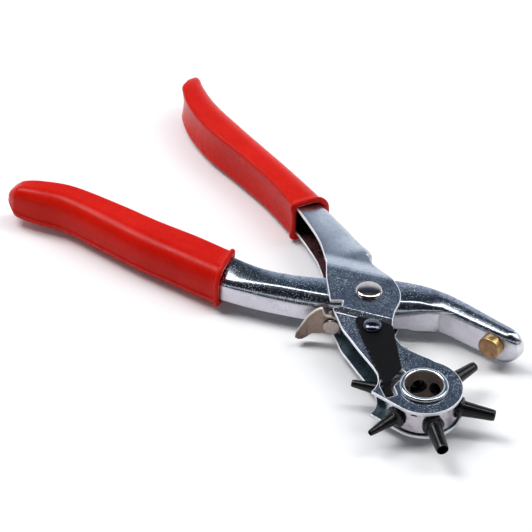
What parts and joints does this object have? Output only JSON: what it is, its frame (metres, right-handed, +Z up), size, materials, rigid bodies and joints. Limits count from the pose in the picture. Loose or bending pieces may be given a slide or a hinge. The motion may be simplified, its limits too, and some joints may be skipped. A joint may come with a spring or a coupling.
{
  "type": "rotary hole punch",
  "caption": "Revolving leather punch pliers with a turret of hollow punches, a round brass anvil, a swinging handle latch and dipped plastic grips.",
  "frame": {"origin": "main rivet's axis, on the flat underside of its lower head", "axes": "+X towards the jaw's nose, -X towards the handles, +Z up along the main rivet, so -Z is the rivet's flat foot; the head lever's handle is on the +Y side"},
  "size_m": [0.2409, 0.1222, 0.0212],
  "materials": {
    "zinc_plate": "bright bluish zinc plating on pressed sheet steel, fine speckle and faint scratches",
    "drum_steel": "satin nickel plate",
    "polished_nickel": "polished nickel plate",
    "latch_nickel": "satin nickel plate with a warm tone",
    "black_oxide": "glossy black oxide on hardened steel",
    "spring_steel": "satin black spring steel",
    "brass": "turned brass with a worn face",
    "red_vinyl": "glossy dipped red PVC"
  },
  "bodies": {
    "anvil_side": {"anvil_lever": "zinc_plate", "anvil_grip": "red_vinyl", "anvil_pad": "brass", "main_rivet": "polished_nickel", "return_spring": "spring_steel", "latch_rivet": "latch_nickel", "latch_spacer": "latch_nickel"},
    "head_side": {"head_lever": "zinc_plate", "head_grip": "red_vinyl", "turret_hub": "polished_nickel", "index_spring_rivet": "black_oxide"},
    "turret": {"turret_drum": "drum_steel", "punch_tube_3_5_mm": "black_oxide", "punch_tube_4_0_mm": "black_oxide", "punch_tube_4_5_mm": "black_oxide", "punch_tube_2_0_mm": "black_oxide", "punch_tube_2_5_mm": "black_oxide", "punch_tube_3_0_mm": "black_oxide"},
    "index_leaf": {"index_spring": "spring_steel"},
    "latch_catch": {"latch": "latch_nickel"}
  },
  "joints": [
    {"name": "lever_pivot", "type": "hinge", "parent": "anvil_side", "child": "head_side", "pos_m": [0, 0, 0.0106], "axis": [0, 0, 1], "range_deg": [0, 12.3], "stiffness_Nm_per_rad": 2, "springref_deg": -14.32, "deforming": ["return_spring"]},
    {"name": "turret_spin", "type": "hinge", "parent": "head_side", "child": "turret", "pos_m": [0.05255, -0.0281, 0.0106], "axis": [0, 0, 1], "continuous": true},
    {"name": "index_spring_lift", "type": "hinge", "parent": "head_side", "child": "index_leaf", "pos_m": [0.0132, -0.0122, 0.0179], "axis": [-0.6691, -0.7431, 0], "range_deg": [0, 2], "stiffness_Nm_per_rad": 0.1, "springref_deg": -2.86},
    {"name": "latch_swing", "type": "hinge", "parent": "anvil_side", "child": "latch_catch", "pos_m": [-0.0039, -0.0186, 0.0097], "axis": [-0.5835, 0.8121, 0], "range_deg": [0, 18]}
  ]
}
